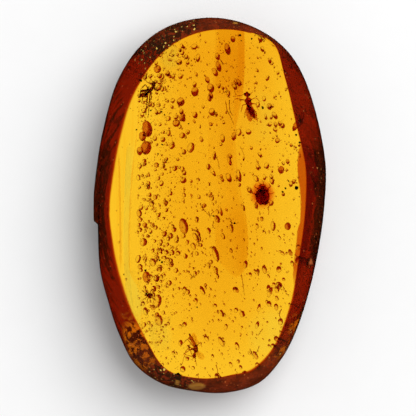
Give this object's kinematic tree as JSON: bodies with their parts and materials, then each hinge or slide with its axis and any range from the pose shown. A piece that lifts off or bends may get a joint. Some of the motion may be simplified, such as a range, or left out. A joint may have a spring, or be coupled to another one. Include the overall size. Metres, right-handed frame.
{
  "type": "insect in amber",
  "caption": "Oval slab of polished golden amber, lying flat, with small fossil insects and fine bubbles sealed inside it.",
  "frame": {"origin": "middle of the slab's outline, on the flat back face that it lies on", "axes": "+Y along the slab's long side, towards the end with the wasp and the ant; +Z out of the front face; +X to the right as the front face is seen"},
  "size_m": [0.0222, 0.036, 0.0076],
  "materials": {
    "amber": "polished faces with a darker, rougher rind on the sides",
    "red_chitin": "satin insect cuticle, dark red",
    "dark_chitin": "satin insect cuticle, nearly black",
    "brown_chitin": "satin insect cuticle, brown"
  },
  "bodies": {
    "root": {"amber_back": "amber", "amber_front": "amber", "wasp": "red_chitin", "ant": "dark_chitin", "beetle": "dark_chitin", "mite": "dark_chitin", "gnat": "brown_chitin"}
  },
  "joints": []
}
